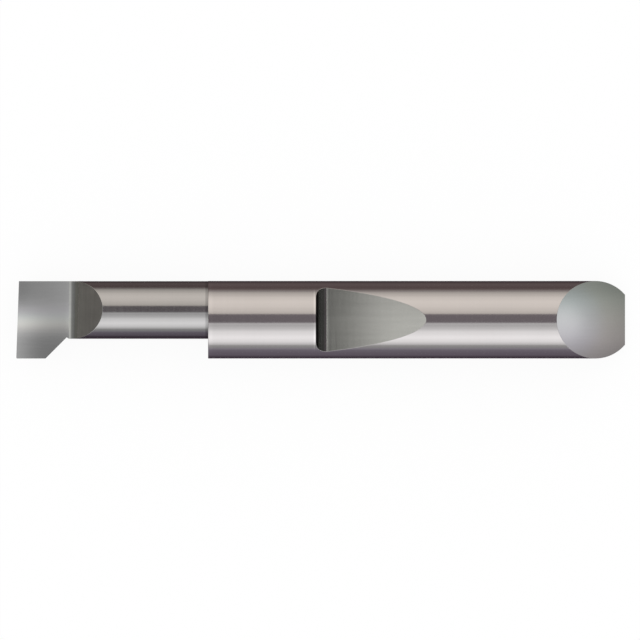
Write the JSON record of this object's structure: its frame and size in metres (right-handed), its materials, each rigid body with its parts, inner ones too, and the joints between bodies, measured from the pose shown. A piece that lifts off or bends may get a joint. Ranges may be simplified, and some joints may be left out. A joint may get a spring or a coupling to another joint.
{
  "type": "threading tool",
  "caption": "One-piece carbide internal threading tool: round shank with sloping locking notch and rear bevel, offset neck and flat-nosed half-round cutting head.",
  "frame": {"origin": "on the shank's axis, in the plane of its front shoulder", "axes": "+X along the shank towards its rear end, +Z square to the rake face and out of it, with the tip pointing along -Y"},
  "size_m": [0.0623, 0.008, 0.008],
  "materials": {
    "carbide": "fine ground, bright round surfaces and matt grey flats"
  },
  "bodies": {
    "root": {"threading_tool": "carbide"}
  },
  "joints": []
}
